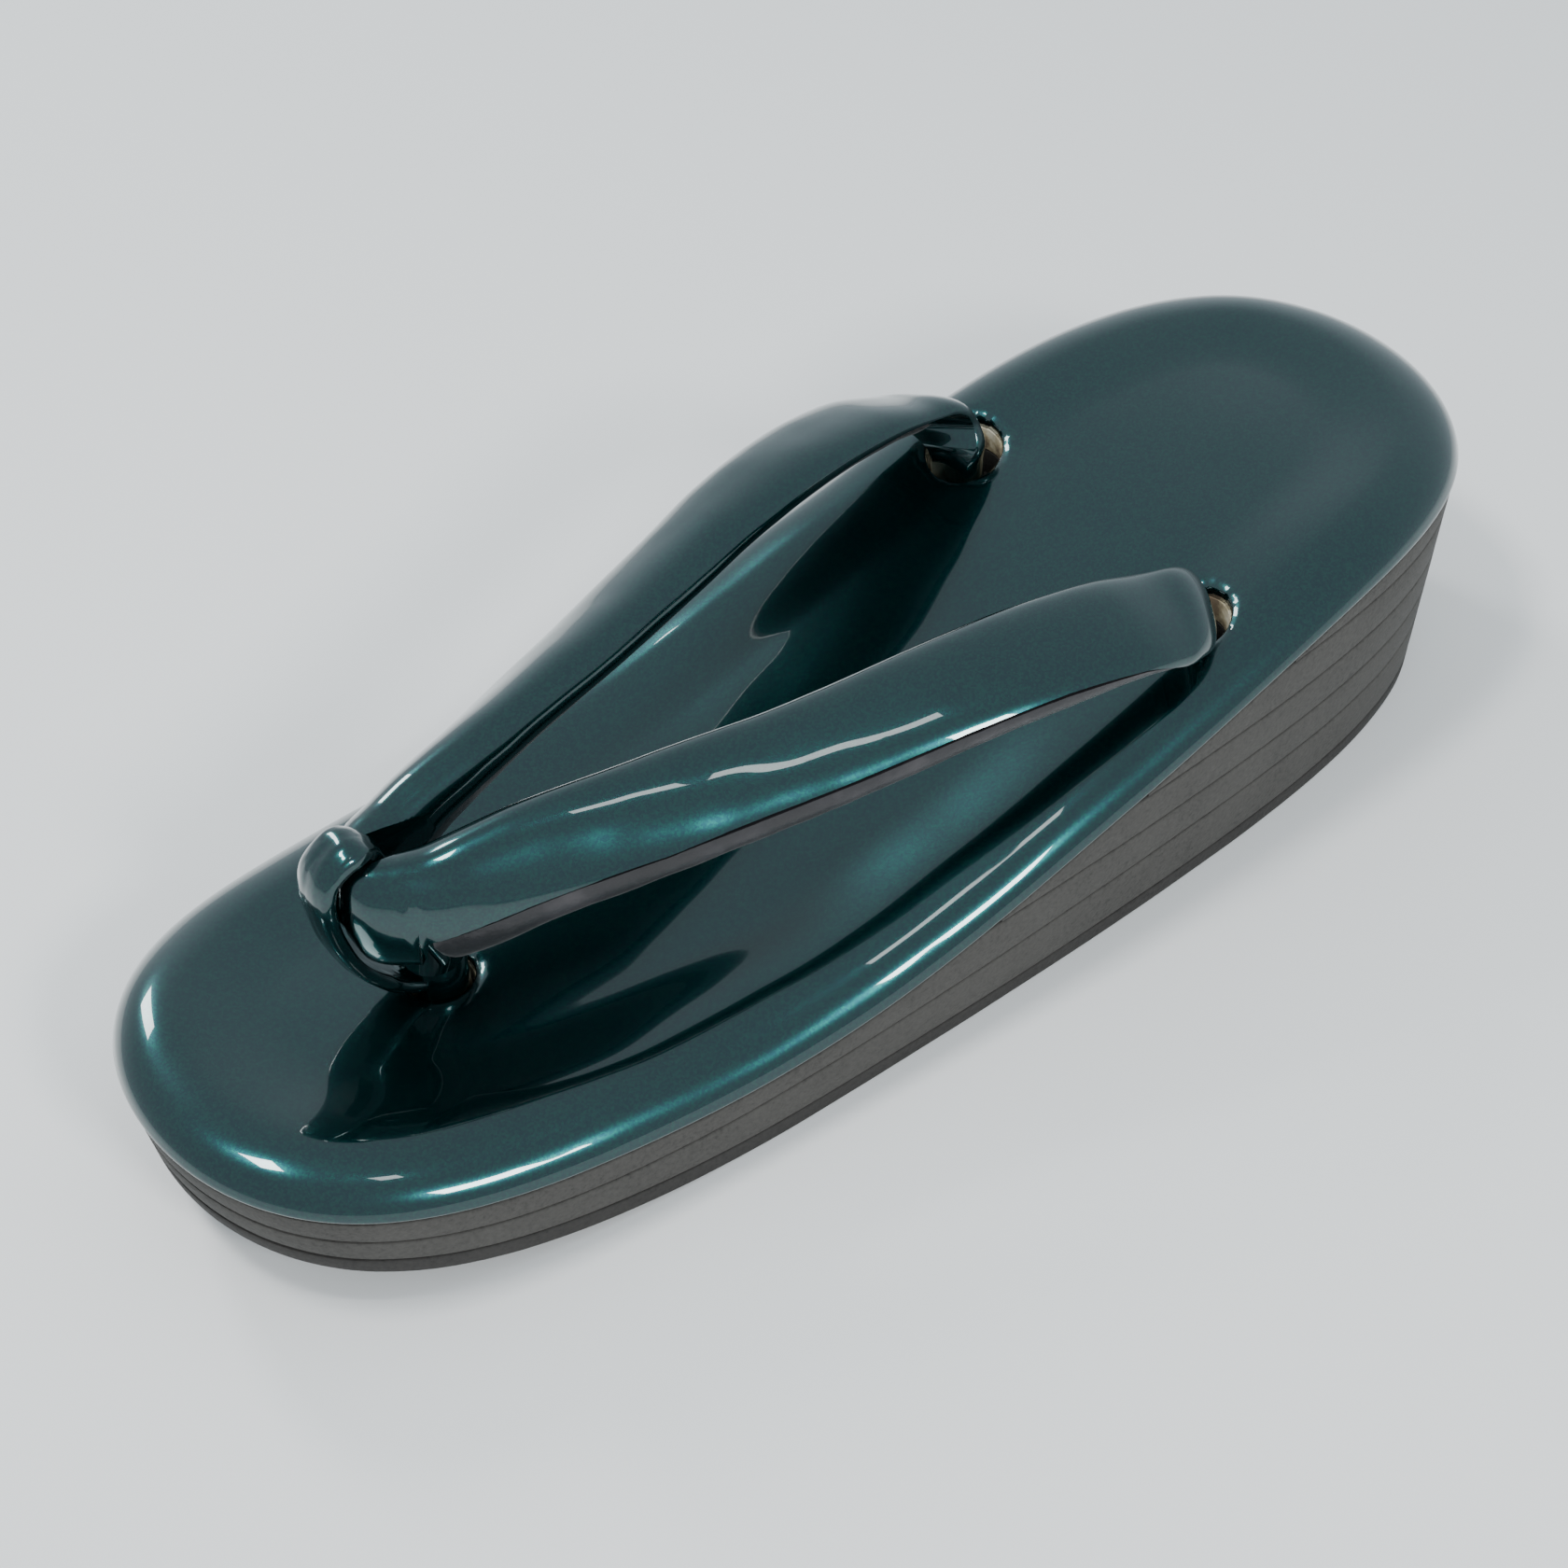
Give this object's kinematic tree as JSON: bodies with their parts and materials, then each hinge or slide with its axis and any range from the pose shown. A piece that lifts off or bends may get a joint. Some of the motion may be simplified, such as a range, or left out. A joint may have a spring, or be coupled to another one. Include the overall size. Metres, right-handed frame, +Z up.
{
  "type": "zori sandal",
  "caption": "Zori: wedge of foam sheets with a dished enamelled deck and a thong of padded enamelled straps held by a toe loop.",
  "frame": {"origin": "on the floor, under the middle of the sole's length and width", "axes": "+Z up, -Y towards the toe, +Y towards the heel, X across the sole"},
  "size_m": [0.0884, 0.2396, 0.0577],
  "materials": {
    "outsole_rubber": "matte charcoal sponge rubber",
    "sole_foam": "matte charcoal foam, finely speckled",
    "deck_core_foam": "cream, matte",
    "enamel": "deep green metallic enamel, mirror gloss",
    "strap_lining": "charcoal lining, low sheen"
  },
  "bodies": {
    "root": {"outsole": "outsole_rubber", "foam_sheet_1": "sole_foam", "foam_sheet_2": "sole_foam", "foam_sheet_3": "sole_foam", "foam_sheet_4": "sole_foam", "foam_sheet_5": "sole_foam", "deck_core": "deck_core_foam", "deck_cover": "enamel", "thong": "enamel", "strap_lining_right": "strap_lining", "strap_lining_left": "strap_lining", "toe_loop": "enamel"}
  },
  "joints": []
}
